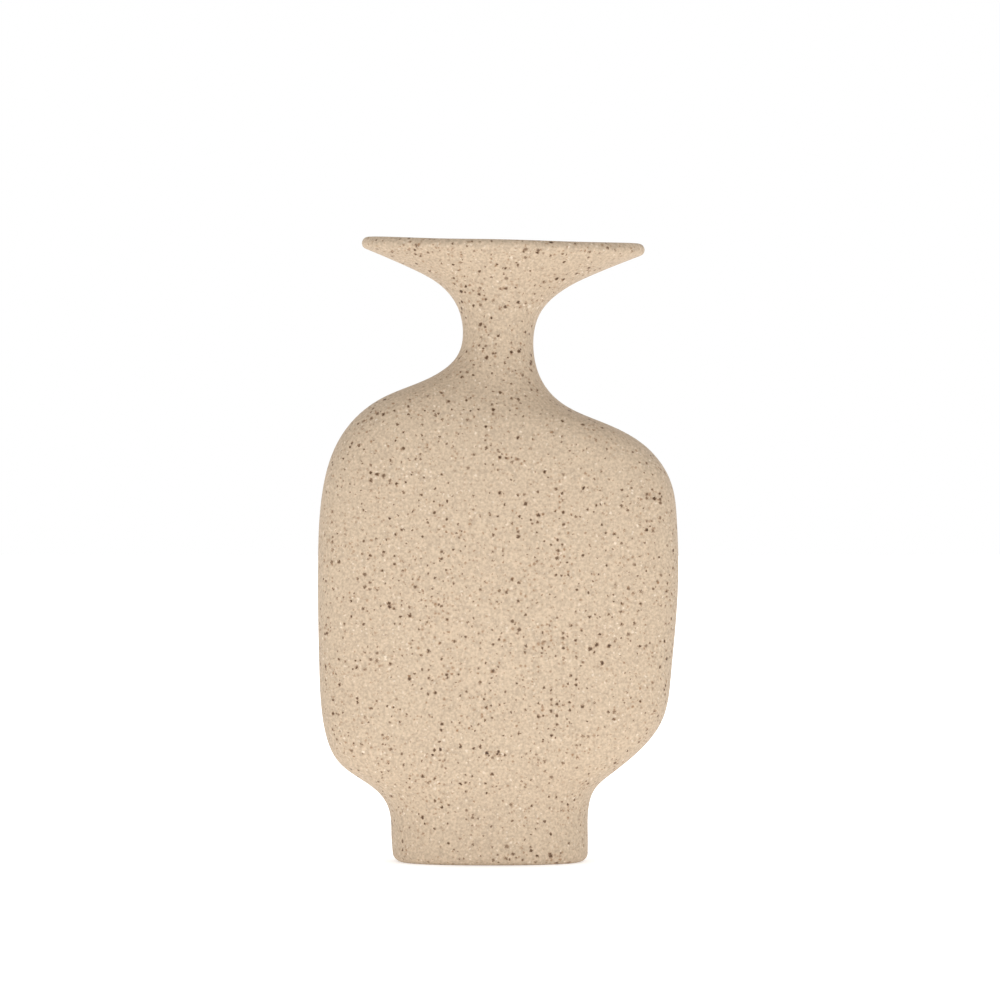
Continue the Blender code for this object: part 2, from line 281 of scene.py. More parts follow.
class Rows:
    """Table of rows round one piece, from which Geometry Nodes make its closed body."""

    VECTORS = ("left", "right", "left_rise", "right_rise")
    NUMBERS = ("half_depth", "depth_rise", "squareness", "inset", "seam_inset", "ahead", "hand")

    def __init__(self, skin):
        self.skin = skin
        self.table = []

    def add(self, place, inset=0.0, ahead=0.0, finish=OUTSIDE):
        """A row at a place up the wall, set in under the skin and moved ahead along it."""
        level, rise = self.skin.section(place)
        self.table.append({
            "left": (level.left_x, 0.0, level.left_z), "right": (level.right_x, 0.0, level.right_z),
            "left_rise": (rise.left_x, 0.0, rise.left_z), "right_rise": (rise.right_x, 0.0, rise.right_z),
            "half_depth": level.half_depth, "depth_rise": rise.half_depth,
            "squareness": level.squareness, "inset": inset, "seam_inset": level.wall / 2,
            "ahead": ahead, "hand": 1.0, "finish": finish})

    def add_outer_face(self, places):
        for place in places:
            self.add(place)

    def add_inner_face(self, places, finish=OUTSIDE):
        """Rows a wall's thickness under the skin, in the opposite order."""
        for place in reversed(places):
            self.add(place, self.skin.section(place)[0].wall, finish=finish)

    def add_level(self, height, inset, finish=OUTSIDE, hand=0.0):
        """A level row inside the foot, set in square to the foot's skin."""
        shape = bpy.context.scene.vase_shape
        level, _ = self.skin.section(self.skin.place_of("foot") * height / shape.foot_height)
        self.table.append({
            "left": (level.left_x, 0.0, height), "right": (level.right_x, 0.0, height),
            "left_rise": (0.0, 0.0, 1.0), "right_rise": (0.0, 0.0, 1.0),
            "half_depth": level.half_depth, "depth_rise": 0.0,
            "squareness": level.squareness, "inset": inset, "seam_inset": level.wall / 2,
            "ahead": 0.0, "hand": hand, "finish": finish})

    def add_pole(self, height, finish):
        """A row that has shrunk to a point over the middle of the foot."""
        self.add_level(height, 0.0, finish)
        pole = self.table[-1]
        middle = (pole["left"][0] + pole["right"][0]) / 2
        pole.update(left=(middle, 0.0, height), right=(middle, 0.0, height), half_depth=0.0)

    def add_joint(self, name, tongue, outwards):
        """The tongue or groove across the wall at a joint, which neighbours share exactly."""
        place = self.skin.place_of(name)
        wall = self.skin.section(place)[0].wall
        faces = ((0.0, 0.0), (0.5, tongue), (1.0, 0.0))
        for share, ahead in faces if outwards else faces[::-1]:
            self.add(place, wall * share, ahead)

    def close(self):
        """Repeats the first row, so that the last one meets it."""
        self.table.append(dict(self.table[0]))

    def as_mesh(self, name):
        mesh = bpy.data.meshes.new(name)
        mesh.from_pydata([row["left"] for row in self.table], [], [])
        for key in self.VECTORS:
            values = np.array([row[key] for row in self.table], dtype=np.float32).ravel()
            mesh.attributes.new(key, "FLOAT_VECTOR", "POINT").data.foreach_set("vector", values)
        for key in self.NUMBERS:
            values = [row[key] for row in self.table]
            mesh.attributes.new(key, "FLOAT", "POINT").data.foreach_set("value", values)
        finishes = [row["finish"] for row in self.table]
        mesh.attributes.new("finish", "INT", "POINT").data.foreach_set("value", finishes)
        return mesh


# ---------------- Node trees ----------------

MATH = "ShaderNodeMath"
VECTOR_MATH = "ShaderNodeVectorMath"
INTEGER_MATH = "FunctionNodeIntegerMath"
MIX = "ShaderNodeMix"
MAP_RANGE = "ShaderNodeMapRange"
NOISE = "ShaderNodeTexNoise"
COMBINE = "ShaderNodeCombineXYZ"


def add_node(tree, kind, inputs=(), **settings):
    """Adds a node with its settings. Inputs are values, sockets or nodes, by name or in order."""
    node = tree.nodes.new(kind)
    for name, value in settings.items():
        setattr(node, name, value)
    shown = [socket for socket in node.inputs if socket.enabled]
    if isinstance(inputs, dict):
        pairs = [(next(s for s in shown if s.name == key), value) for key, value in inputs.items()]
    else:
        pairs = zip(shown, inputs)
    for socket, value in pairs:
        if isinstance(value, bpy.types.Node):
            value = next(s for s in value.outputs if s.enabled)
        if isinstance(value, bpy.types.NodeSocket):
            tree.links.new(value, socket)
        elif value is not None:
            socket.default_value = value
    return node


def loft_tree():
    """Closed clay body from a table of rows.

    The body is a grid of rows and columns. Each row tells the left and right end of its section,
    the half depth and the squareness, and each column turns by a step from the first turn to the
    last. With open seams the two ends meet, and with closed seams the end columns fold in to the
    middle of the wall and cap it. The unevenness left by the hand moves the skin along its normal.
    """
    tree = bpy.data.node_groups.new("clay_loft", "GeometryNodeTree")
    face = tree.interface
    face.new_socket("Rows", in_out="INPUT", socket_type="NodeSocketGeometry")
    for name, kind in (
            ("Columns", "Int"), ("First Turn", "Float"), ("Last Turn", "Float"), ("Closed Seams", "Bool"),
            ("Wave Height", "Float"), ("Wave Size", "Float"), ("Seed", "Float"),
            ("Outside", "Material"), ("Inside", "Material"), ("Underside", "Material")):
        face.new_socket(name, in_out="INPUT", socket_type="NodeSocket" + kind)
    face.new_socket("Body", in_out="OUTPUT", socket_type="NodeSocketGeometry")
    entry = tree.nodes.new("NodeGroupInput").outputs

    size = add_node(tree, "GeometryNodeAttributeDomainSize", [entry["Rows"]], component="MESH")
    grid = add_node(tree, "GeometryNodeMeshGrid", [1.0, 1.0, size.outputs["Point Count"], entry["Columns"]])
    index = add_node(tree, "GeometryNodeInputIndex")
    row = add_node(tree, INTEGER_MATH, [index, entry["Columns"]], operation="DIVIDE_FLOOR")
    column = add_node(tree, INTEGER_MATH, [index, entry["Columns"]], operation="MODULO")

    def read(name, data_type="FLOAT", at=row):
        """A value of the row table."""
        field = add_node(tree, "GeometryNodeInputNamedAttribute", [name], data_type=data_type)
        return add_node(
            tree, "GeometryNodeSampleIndex", [entry["Rows"], field, at], data_type=data_type, domain="POINT")

    # The turn of each column. End columns of a closed seam repeat their neighbour's turn.
    raw = add_node(tree, MATH, [column, entry["Closed Seams"]], operation="SUBTRACT")
    folded = add_node(
        tree, MATH, [entry["Closed Seams"], -2.0, entry["Columns"]], operation="MULTIPLY_ADD")
    steps = add_node(tree, MATH, [folded, 1.0], operation="SUBTRACT")
    not_before = add_node(tree, MATH, [raw, 0.0], operation="MAXIMUM")
    step = add_node(tree, MATH, [not_before, steps], operation="MINIMUM")
    past_seam = add_node(tree, MATH, [raw, step], operation="SUBTRACT")
    at_seam = add_node(tree, MATH, [past_seam], operation="ABSOLUTE")
    turn = add_node(tree, MAP_RANGE, [step, 0.0, steps, entry["First Turn"], entry["Last Turn"]])

    # A circle swollen towards the corners of its square
    squareness = read("squareness")
    lean = add_node(tree, MATH, [squareness, 1.0], operation="SUBTRACT")
    cosine = add_node(tree, MATH, [turn], operation="COSINE")
    sine = add_node(tree, MATH, [turn], operation="SINE")
    swell = None
    for side in (cosine, sine):
        size_of_side = add_node(tree, MATH, [side], operation="ABSOLUTE")
        power = add_node(tree, MATH, [size_of_side, squareness], operation="POWER")
        swell = add_node(tree, MATH, [swell, power], operation="ADD") if swell else power
    root = add_node(tree, MATH, [-1.0, squareness], operation="DIVIDE")
    reach = add_node(tree, MATH, [swell, root], operation="POWER")
    across = add_node(tree, MATH, [cosine, reach], operation="MULTIPLY")
    deep = add_node(tree, MATH, [sine, reach], operation="MULTIPLY")

    # Point of the skin
    left, right = read("left", "FLOAT_VECTOR"), read("right", "FLOAT_VECTOR")
    half_depth = read("half_depth")
    share = add_node(tree, MATH, [across, 0.5, 0.5], operation="MULTIPLY_ADD")
    middle = add_node(tree, MIX, [share, left, right], data_type="VECTOR")
    bow = add_node(tree, MATH, [half_depth, deep], operation="MULTIPLY")
    out_of_plane = add_node(tree, COMBINE, [0.0, bow, 0.0])
    point = add_node(tree, VECTOR_MATH, [middle, out_of_plane], operation="ADD")

    # Slope up the wall
    ends_rise = [read("left_rise", "FLOAT_VECTOR"), read("right_rise", "FLOAT_VECTOR")]
    rise = add_node(tree, MIX, [share, *ends_rise], data_type="VECTOR")
    bow_rise = add_node(tree, MATH, [read("depth_rise"), deep], operation="MULTIPLY")
    deepen = add_node(tree, COMBINE, [0.0, bow_rise, 0.0])
    climb = add_node(tree, VECTOR_MATH, [rise, deepen], operation="ADD")
    up = add_node(tree, VECTOR_MATH, [climb], operation="NORMALIZE")

    # Slope along the row, from the slope of the swollen circle, and the normal between the two
    slopes = []
    for part in (deep, across):
        size_of_part = add_node(tree, MATH, [part], operation="ABSOLUTE")
        power = add_node(tree, MATH, [size_of_part, lean], operation="POWER")
        sign = add_node(tree, MATH, [part], operation="SIGN")
        slopes.append(add_node(tree, MATH, [sign, power], operation="MULTIPLY"))
    span = add_node(tree, VECTOR_MATH, [right, left], operation="SUBTRACT")
    half_turn = add_node(tree, MATH, [slopes[0], -0.5], operation="MULTIPLY")
    sideways = add_node(tree, VECTOR_MATH, {"Vector": span, "Scale": half_turn}, operation="SCALE")
    retreat = add_node(tree, MATH, [half_depth, slopes[1]], operation="MULTIPLY")
    backwards = add_node(tree, COMBINE, [0.0, retreat, 0.0])
    along = add_node(tree, VECTOR_MATH, [sideways, backwards], operation="ADD")
    square_to_both = add_node(tree, VECTOR_MATH, [along, up], operation="CROSS_PRODUCT")
    normal = add_node(tree, VECTOR_MATH, [square_to_both], operation="NORMALIZE")

    # The wave of the hand, and the place of the row under and along the skin
    per_metre = add_node(tree, MATH, [1.0, entry["Wave Size"]], operation="DIVIDE")
    lookup = add_node(tree, VECTOR_MATH, {"Vector": point, "Scale": per_metre}, operation="SCALE")
    noise = add_node(
        tree, NOISE, {"Vector": lookup, "W": entry["Seed"], "Scale": 1.0, "Detail": 1.0, "Roughness": 0.4},
        noise_dimensions="4D")
    swing = add_node(tree, MATH, [noise, 0.5], operation="SUBTRACT")
    height = add_node(tree, MATH, [entry["Wave Height"], read("hand")], operation="MULTIPLY")
    wave = add_node(tree, MATH, [swing, height], operation="MULTIPLY")
    inset = add_node(tree, MIX, [at_seam, read("inset"), read("seam_inset")], data_type="FLOAT")
    outwards = add_node(tree, MATH, [wave, inset], operation="SUBTRACT")
    off_skin = add_node(tree, VECTOR_MATH, {"Vector": normal, "Scale": outwards}, operation="SCALE")
    along_skin = add_node(tree, VECTOR_MATH, {"Vector": up, "Scale": read("ahead")}, operation="SCALE")
    offset = add_node(tree, VECTOR_MATH, [off_skin, along_skin], operation="ADD")
    final = add_node(tree, VECTOR_MATH, [point, offset], operation="ADD")

    # Faces remember the finish of their row before the ends of the grid are welded
    faces_in_row = add_node(tree, INTEGER_MATH, [entry["Columns"], 1], operation="SUBTRACT")
    face_row = add_node(tree, INTEGER_MATH, [index, faces_in_row], operation="DIVIDE_FLOOR")
    marked = add_node(
        tree, "GeometryNodeStoreNamedAttribute", [grid, True, "finish", read("finish", "INT", face_row)],
        data_type="INT", domain="FACE")
    placed = add_node(tree, "GeometryNodeSetPosition", {"Geometry": marked, "Position": final})
    welded = add_node(tree, "GeometryNodeMergeByDistance", {"Geometry": placed, "Distance": WELD_DISTANCE})
    solid = add_node(tree, "GeometryNodeRealizeInstances", [welded])
    shape = add_node(tree, "GeometryNodeSetMaterial", {"Geometry": solid, "Material": entry["Outside"]})
    for finish, name in ((INSIDE, "Inside"), (UNDERSIDE, "Underside")):
        mark = add_node(tree, "GeometryNodeInputNamedAttribute", ["finish"], data_type="INT")
        chosen = add_node(
            tree, "FunctionNodeCompare", [mark, finish], data_type="INT", operation="EQUAL")
        shape = add_node(
            tree, "GeometryNodeSetMaterial",
            {"Geometry": shape, "Selection": chosen, "Material": entry[name]})
    leave = tree.nodes.new("NodeGroupOutput")
    tree.links.new(shape.outputs["Geometry"], leave.inputs["Body"])
    return tree


def tree_of(name, maker):
    """A node tree by name, made once."""
    return bpy.data.node_groups.get(name) or maker()


def run_nodes(mesh, name, tree, values):
    """Applies a Geometry Nodes tree to a mesh, and returns the result as a plain object."""
    source = bpy.data.objects.new(name + "_rows", mesh)
    bpy.context.scene.collection.objects.link(source)
    modifier = source.modifiers.new("nodes", "NODES")
    modifier.node_group = tree
    for item in tree.interface.items_tree:
        if item.item_type == "SOCKET" and item.in_out == "INPUT" and item.name in values:
            modifier[item.identifier] = values[item.name]
    depsgraph = bpy.context.evaluated_depsgraph_get()
    made = bpy.data.meshes.new_from_object(source.evaluated_get(depsgraph), depsgraph=depsgraph)
    source.modifiers.remove(modifier)
    bpy.data.objects.remove(source, do_unlink=True)
    made.name = name
    piece = bpy.data.objects.new(name, made)
    bpy.context.scene.collection.objects.link(piece)
    return piece


def fire(rows, name, nodes, turns=(2.0, 0.0), closed=False):
    """Lofts a table of rows into a finished piece that stands for its CAD nodes.

    Turns are in half circles, from the first column to the last.
    """
    shape = bpy.context.scene.vase_shape
    around = round(shape.columns * abs(turns[0] - turns[1]) / 2)
    rows.close()
    piece = run_nodes(rows.as_mesh(name + "_rows"), name, tree_of("clay_loft", loft_tree), {
        "Columns": around + (3 if closed else 1),
        "First Turn": turns[0] * math.pi,
        "Last Turn": turns[1] * math.pi,
        "Closed Seams": closed,
        "Wave Height": shape.wave_height,
        "Wave Size": shape.wave_size,
        "Seed": HAND_SEED,
        "Outside": material_of("matte_speckled_glaze", speckled_glaze),
        "Inside": material_of("satin_liner_glaze", liner_glaze),
        "Underside": material_of("bare_fired_clay", bare_clay),
    })
    mesh = piece.data
    mesh.attributes.remove(mesh.attributes["finish"])
    mesh.shade_smooth()
    mesh.set_sharp_from_angle(angle=SHARP_ANGLE)
    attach(piece, BODY)
    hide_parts(*nodes)
    return piece


# ---------------- Finishes ----------------

class VaseFinish(bpy.types.PropertyGroup):
    """Colours and speck sizes of the glaze and the clay."""

    ground: colour("Ground", "Matte glaze over the clay", "#B39F88")
    pale: colour("Pale", "Where the glaze is thicker", "#B6A38C")
    cream: colour("Cream", "Grains of feldspar that stay white in the clay", "#EADCC8")
    iron: colour("Iron", "Middle of a burst iron speck", "#3A2208")
    tan: colour("Tan", "Iron that bleeds into the glaze or shows faintly through it", "#7A522A")
    clay: colour("Clay", "Bare fired clay under the foot", "#A98C6C")
    liner: colour("Liner", "Glaze inside the body", "#C9BBA6")
    speck: length("Iron Speck", "Greatest radius of an iron speck with its bleed", 1.35 * MM)
    speck_spacing: length("Iron Spacing", "Distance between iron grains in the clay", 3.0 * MM)
    fleck: length("Tan Fleck", "Greatest radius of a faint fleck", 1.05 * MM)
    fleck_spacing: length("Tan Spacing", "Distance between faint grains in the clay", 2.0 * MM)
    chip: length("Cream Grain", "Greatest radius of a white grain", 1.0 * MM)
    chip_spacing: length("Cream Spacing", "Distance between white grains in the clay", 2.1 * MM)
    grit: length("Grit", "Grain of the matte glaze", 1.2 * MM)


# Sizes of the patterns in the clay and the glaze
RAGGED_SIZE = 0.8 * MM         # unevenness round the edge of a grain
RAGGED_PUSH = 1.6 * MM         # how far it can move the edge
DRIFT_SIZE = 11.0 * MM         # drifts that grains gather in, where the clay was folded in wedging
CLOUD_SIZE = 28.0 * MM         # thicker and thinner areas of the matte glaze
LINER_CLOUD_SIZE = 18.0 * MM   # the same in the liner, which was poured
PEEL_SIZE = 1.6 * MM           # orange peel of the matte glaze
PEEL_DEPTH = 0.12 * MM
GRIT_DEPTH = 0.2 * MM          # relief of the bare clay
LEAST_BLEED = 0.5 * MM         # radius of the smallest iron speck with its bleed
LEAST_IRON = 0.3 * MM          # the same where the iron doesn't bleed
LEAST_FLECK = 0.4 * MM
LEAST_CHIP = 0.2 * MM
GRAIN_SKEW = 1.6               # power that makes most grains small
IRON_SEED, TAN_SEED, CREAM_SEED = 11.0, 3.0, 23.0

# Roughness of each surface, and the index of refraction of what it is made of
MATTE_ROUGHNESS = 0.74
BURST_ROUGHNESS = 0.5
LINER_ROUGHNESS = 0.3
CLAY_ROUGHNESS = 0.88
ACRYLIC_ROUGHNESS = 0.8
CERAMIC_IOR = 1.45
LINER_IOR = 1.5
ACRYLIC_IOR = 1.45


def material_of(name, maker):
    """A material by name, made once."""
    return bpy.data.materials.get(name) or maker(name)


def new_material(name, roughness, ior):
    """A material with the roughness and the index of refraction of its surface."""
    material = bpy.data.materials.new(name)
    material.use_nodes = True
    shader = material.node_tree.nodes["Principled BSDF"]
    shader.inputs["Roughness"].default_value = roughness
    shader.inputs["IOR"].default_value = ior
    return material, material.node_tree, shader


def clouded(tree, place, size, first, second):
    """A coat that drifts between two colours in soft clouds."""
    clouds = add_node(tree, NOISE, {"Vector": place, "Scale": 1 / size, "Detail": 2.0})
    return add_node(tree, MIX, {"Factor": clouds, "A": (*first, 1), "B": (*second, 1)}, data_type="RGBA")


def grains(tree, place, spacing, smallest, largest, seed, size=1.0):
    """Grains scattered through the clay: distance out from a grain's middle, and its random value.

    A grain is a ball about a scattered point, and where it meets the skin it shows as a spot. The
    distance is 0 in the middle of the ball and 1 at its edge. Most grains are small.
    """
    shifted = add_node(tree, VECTOR_MATH, [place, (seed * MM, -seed * MM, 2 * seed * MM)], operation="ADD")
    cells = add_node(tree, "ShaderNodeTexVoronoi", {"Vector": shifted, "Scale": 1 / spacing}, feature="F1")
    chance = add_node(tree, "ShaderNodeSeparateColor", [cells.outputs["Color"]])
    skewed = add_node(tree, MATH, [chance.outputs["Red"], GRAIN_SKEW], operation="POWER")
    radius = add_node(tree, MAP_RANGE, [skewed, 0.0, 1.0, smallest / spacing, largest / spacing])
    reach = add_node(tree, MATH, [radius, size], operation="MULTIPLY")
    out = add_node(tree, MATH, [cells.outputs["Distance"], reach], operation="DIVIDE")
    return out, chance.outputs["Green"]


def speckled_glaze(name):
    """Thin matte glaze over iron-bearing stoneware, brushed on and fired in reduction.

    It gives a dry, warm beige that is thick with burst iron specks 1 to 2 mm across, each with a
    brown bleed, faint tan flecks between them, small white grains and a sandy grain.
    """
    finish = bpy.context.scene.vase_finish
    material, tree, shader = new_material(name, MATTE_ROUGHNESS, CERAMIC_IOR)
    place = add_node(tree, "ShaderNodeTexCoord").outputs["Object"]
    # Ragged edges for the grains
    ragged = add_node(tree, NOISE, {"Vector": place, "Scale": 1 / RAGGED_SIZE, "Detail": 2.0})
    centred = add_node(
        tree, VECTOR_MATH, [ragged.outputs["Color"], (0.5, 0.5, 0.5)], operation="SUBTRACT")
    pushed = add_node(tree, VECTOR_MATH, {"Vector": centred, "Scale": RAGGED_PUSH}, operation="SCALE")
    rough_place = add_node(tree, VECTOR_MATH, [place, pushed], operation="ADD")
    drift = add_node(tree, NOISE, {"Vector": place, "Scale": 1 / DRIFT_SIZE, "Detail": 1.0})
    gathered = add_node(tree, MAP_RANGE, [drift, 0.36, 0.64, 0.72, 1.18])

    coat = clouded(tree, place, CLOUD_SIZE, finish.ground, finish.pale)
    sand = add_node(tree, NOISE, {"Vector": place, "Scale": 1 / finish.grit, "Detail": 3.0})
    shade = add_node(tree, MAP_RANGE, [sand, 0.3, 0.7, 0.8, 1.2])
    skin = add_node(tree, VECTOR_MATH, {"Vector": coat, "Scale": shade}, operation="SCALE")

    # Each layer of grains: spacing, smallest and largest radius, seed, colour, where the spot starts
    # to fade between its middle and its edge, and least and greatest strength
    layers = (
        (finish.chip_spacing, LEAST_CHIP, finish.chip, CREAM_SEED, finish.cream, 0.2, 0.15, 0.6),
        (finish.fleck_spacing, LEAST_FLECK, finish.fleck, TAN_SEED, finish.tan, 0.2, 0.15, 0.8),
        (finish.speck_spacing, LEAST_BLEED, finish.speck, IRON_SEED, finish.tan, 0.3, 0.45, 1.0),
    )
    for spacing, smallest, largest, seed, tint, start, least, greatest in layers:
        out, chance = grains(tree, rough_place, spacing, smallest, largest, seed, gathered)
        spot = add_node(tree, MAP_RANGE, [out, start, 1.0, 1.0, 0.0], interpolation_type="SMOOTHSTEP")
        strength = add_node(tree, MAP_RANGE, [chance, 0.0, 1.0, least, greatest])
        cover = add_node(tree, MATH, [spot, strength], operation="MULTIPLY")
        skin = add_node(tree, MIX, {"Factor": cover, "A": skin, "B": (*tint, 1)}, data_type="RGBA")
    # The last layer is the iron, whose middle is burst and nearly black
    core = add_node(tree, MAP_RANGE, [out, 0.3, 0.8, 1.0, 0.0], interpolation_type="SMOOTHSTEP")
    burst = add_node(tree, MATH, [core, strength], operation="MULTIPLY")
    skin = add_node(tree, MIX, {"Factor": burst, "A": skin, "B": (*finish.iron, 1)}, data_type="RGBA")
    tree.links.new(skin.outputs["Result"], shader.inputs["Base Color"])

    # Iron melts a little glossier than the glaze round it
    gloss = add_node(tree, MAP_RANGE, [burst, 0.0, 1.0, MATTE_ROUGHNESS, BURST_ROUGHNESS])
    tree.links.new(gloss.outputs["Result"], shader.inputs["Roughness"])

    orange_peel = add_node(tree, NOISE, {"Vector": place, "Scale": 1 / PEEL_SIZE, "Detail": 4.0})
    pit = add_node(tree, MATH, [burst, -0.5, orange_peel], operation="MULTIPLY_ADD")
    bump = add_node(tree, "ShaderNodeBump", {"Height": pit, "Distance": PEEL_DEPTH, "Strength": 0.5})
    tree.links.new(bump.outputs["Normal"], shader.inputs["Normal"])
    return material


def liner_glaze(name):
    """Clear liner glaze poured through the inside to make it hold water.

    It is smoother and shinier than the outside, and the clay shows warm through it.
    """
    finish = bpy.context.scene.vase_finish
    material, tree, shader = new_material(name, LINER_ROUGHNESS, LINER_IOR)
    place = add_node(tree, "ShaderNodeTexCoord").outputs["Object"]
    coat = clouded(tree, place, LINER_CLOUD_SIZE, finish.liner, finish.ground)
    out, _ = grains(tree, place, finish.speck_spacing, LEAST_IRON, finish.speck, IRON_SEED)
    veiled = add_node(tree, MAP_RANGE, [out, 0.2, 1.0, 0.5, 0.0], interpolation_type="SMOOTHSTEP")
    skin = add_node(tree, MIX, {"Factor": veiled, "A": coat, "B": (*finish.iron, 1)}, data_type="RGBA")
    tree.links.new(skin.outputs["Result"], shader.inputs["Base Color"])
    return material


def bare_clay(name):
    """Stoneware wiped clean of glaze under the foot, so that it doesn't stick to the kiln shelf.

    It is darker, toastier and drier than the glaze, with a gritty grain and open specks.
    """
    finish = bpy.context.scene.vase_finish
    material, tree, shader = new_material(name, CLAY_ROUGHNESS, CERAMIC_IOR)
    place = add_node(tree, "ShaderNodeTexCoord").outputs["Object"]
    grit = add_node(tree, NOISE, {"Vector": place, "Scale": 1 / finish.grit, "Detail": 4.0})
    shade = add_node(tree, MAP_RANGE, [grit, 0.3, 0.7, 0.86, 1.12])
    ground = add_node(
        tree, VECTOR_MATH, {"Vector": tuple(finish.clay), "Scale": shade}, operation="SCALE")
    out, _ = grains(tree, place, finish.speck_spacing, LEAST_IRON, finish.speck, IRON_SEED)
    spot = add_node(tree, MAP_RANGE, [out, 0.5, 1.0, 1.0, 0.0], interpolation_type="SMOOTHSTEP")
    skin = add_node(tree, MIX, {"Factor": spot, "A": ground, "B": (*finish.iron, 1)}, data_type="RGBA")
    tree.links.new(skin.outputs["Result"], shader.inputs["Base Color"])
    bump = add_node(tree, "ShaderNodeBump", {"Height": grit, "Distance": GRIT_DEPTH, "Strength": 0.6})
    tree.links.new(bump.outputs["Normal"], shader.inputs["Normal"])
    return material


# ---------------- Pieces ----------------

def rounded(corners):
    """Path through corners given as (inset, height, radius), with an arc at each inner corner."""
    path = [Vector(corners[0][:2])]
    for before, corner, after in zip(corners, corners[1:], corners[2:]):
        here, radius = Vector(corner[:2]), corner[2]
        back = (Vector(before[:2]) - here).normalized()
        ahead = (Vector(after[:2]) - here).normalized()
        half = back.angle(ahead) / 2
        start, end = here + back * radius / math.tan(half), here + ahead * radius / math.tan(half)
        centre = here + (back + ahead).normalized() * radius / math.sin(half)
        for i in range(ARC_STEPS + 1):
            spoke = (start - centre).lerp(end - centre, i / ARC_STEPS).normalized()
            path.append(centre + spoke * radius)
    path.append(Vector(corners[-1][:2]))
    return path


def divided(path, step):
    """The path with long straight runs cut into steps."""
    fine = [path[0]]
    for start, end in zip(path, path[1:]):
        count = max(1, math.ceil((end - start).length / step))
        fine += [start.lerp(end, i / count) for i in range(1, count + 1)]
    return fine


class VASE_OT_foot_wall(bpy.types.Operator):
    """Oval foot collar with a soft outer edge and a ledge for the base"""

    bl_idname = "vase.foot_wall"
    bl_label = "Foot Wall"

    def execute(self, context):
        shape = context.scene.vase_shape
        skin = Skin(shape)
        rows = Rows(skin)
        ledge = shape.base_low - shape.slip_gap
        inner = shape.foot_wall + shape.ledge_width
        rows.add_joint("foot", shape.tongue, outwards=False)
        # Down the flank, round the outer edge, across the flat underside and up the ledge
        path = rounded((
            (0.0, shape.foot_height, 0.0),
            (0.0, 0.0, shape.foot_edge),
            (inner, 0.0, LEDGE_EDGE),
            (inner, ledge, LEDGE_EDGE),
            (shape.foot_wall, ledge, LEDGE_FILLET),
            (shape.foot_wall, shape.foot_height, 0.0)))
        steady = shape.foot_height * STEADY_SHARE
        for inset, height in divided(path, shape.row_step)[1:-1]:
            bare = inset > shape.foot_edge * BARE_SHARE
            fade = min(1.0, height / steady) if inset < shape.foot_edge else 0.0
            rows.add_level(height, inset, UNDERSIDE if bare else OUTSIDE, fade)
        fire(rows, "foot_wall_fired", ["foot_wall"])
        return {"FINISHED"}


class VASE_OT_base_slab(bpy.types.Operator):
    """Base slab lifted clear of the table inside the foot"""

    bl_idname = "vase.base_slab"
    bl_label = "Base Slab"

    def execute(self, context):
        shape = context.scene.vase_shape
        rows = Rows(Skin(shape))
        edge = shape.foot_wall + shape.slip_gap
        path = rounded((
            (shape.foot_depth / 2, shape.base_low, 0.0),
            (edge, shape.base_low, BASE_LOW_EDGE),
            (edge, shape.base_high, BASE_HIGH_EDGE),
            (shape.foot_depth / 2, shape.base_high, 0.0)))
        rows.add_pole(shape.base_low, UNDERSIDE)
        for inset, height in divided(path[1:-1], shape.row_step):
            rows.add_level(height, inset, INSIDE if height > shape.base_low + GLAZE_LINE else UNDERSIDE)
        rows.add_pole(shape.base_high, INSIDE)
        fire(rows, "base_slab_fired", ["base_slab"])
        return {"FINISHED"}


class VASE_OT_body_shells(bpy.types.Operator):
    """Front and back shell of the body, joined along the narrow edges"""

    bl_idname = "vase.body_shells"
    bl_label = "Body Shells"

    def execute(self, context):
        shape = context.scene.vase_shape
        skin = Skin(shape)
        for name, turns in (("front_shell", (2.0, 1.0)), ("back_shell", (1.0, 0.0))):
            rows = Rows(skin)
            places = skin.spread("foot", "shoulder", shape.row_step)
            rows.add_joint("foot", shape.tongue, outwards=False)
            rows.add_outer_face(places)
            rows.add_joint("shoulder", shape.tongue, outwards=True)
            rows.add_inner_face(places, INSIDE)
            fire(rows, name + "_fired", [name], turns, closed=True)
        return {"FINISHED"}


class VASE_OT_neck_collar(bpy.types.Operator):
    """Short waisted neck"""

    bl_idname = "vase.neck_collar"
    bl_label = "Neck Collar"

    def execute(self, context):
        shape = context.scene.vase_shape
        skin = Skin(shape)
        rows = Rows(skin)
        places = skin.spread("shoulder", "rim", shape.row_step)
        rows.add_joint("shoulder", shape.tongue, outwards=False)
        rows.add_outer_face(places)
        rows.add_joint("rim", shape.tongue, outwards=True)
        rows.add_inner_face(places)
        fire(rows, "neck_collar_fired", ["neck_collar"])
        return {"FINISHED"}


class VASE_OT_flared_rim(bpy.types.Operator):
    """Wide oval trumpet rim that dips to the right, with a rounded lip"""

    bl_idname = "vase.flared_rim"
    bl_label = "Flared Rim"

    def execute(self, context):
        shape = context.scene.vase_shape
        skin = Skin(shape)
        rows = Rows(skin)
        places = skin.spread("rim", "lip", shape.row_step)
        rows.add_joint("rim", shape.tongue, outwards=False)
        rows.add_outer_face(places)
        end = skin.place_of("lip")
        radius = skin.section(end)[0].wall / 2
        for i in range(LIP_STEPS + 1):
            angle = math.pi * i / LIP_STEPS
            out, ahead = math.cos(angle), math.sin(angle)
            reach = (abs(out) ** LIP_SQUARENESS + ahead ** LIP_SQUARENESS) ** (-1 / LIP_SQUARENESS)
            rows.add(end, radius * (1 - out * reach), radius * ahead * reach)
        rows.add_inner_face(places)
        fire(rows, "flared_rim_fired", ["flared_rim"])
        return {"FINISHED"}


# ---------------- Studio ----------------

